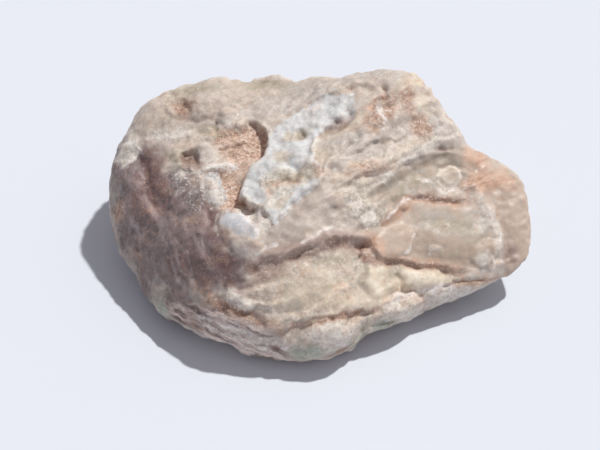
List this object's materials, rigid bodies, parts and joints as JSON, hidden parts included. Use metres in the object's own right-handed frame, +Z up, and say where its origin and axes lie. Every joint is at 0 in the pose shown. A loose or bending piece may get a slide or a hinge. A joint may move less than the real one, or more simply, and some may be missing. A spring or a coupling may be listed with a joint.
{
  "type": "opalized wood specimen",
  "caption": "Rough lump of fossil wood replaced by common opal, with a broken ledge, a smooth plate, a pale crust and hollows, resting on a small flat.",
  "frame": {"origin": "on the resting plane, under the middle of the stone's box", "axes": "+X along the stone's length, from its blunt left end to its thin right end; +Y from the ledged front to the high back edge; +Z up"},
  "size_m": [0.04, 0.0272, 0.0159],
  "materials": {
    "common_opal": "waxy cream and tan common opal, mottled with rust, grey-brown and a bluish-white crust"
  },
  "bodies": {
    "root": {"opalized_wood": "common_opal"}
  },
  "joints": []
}
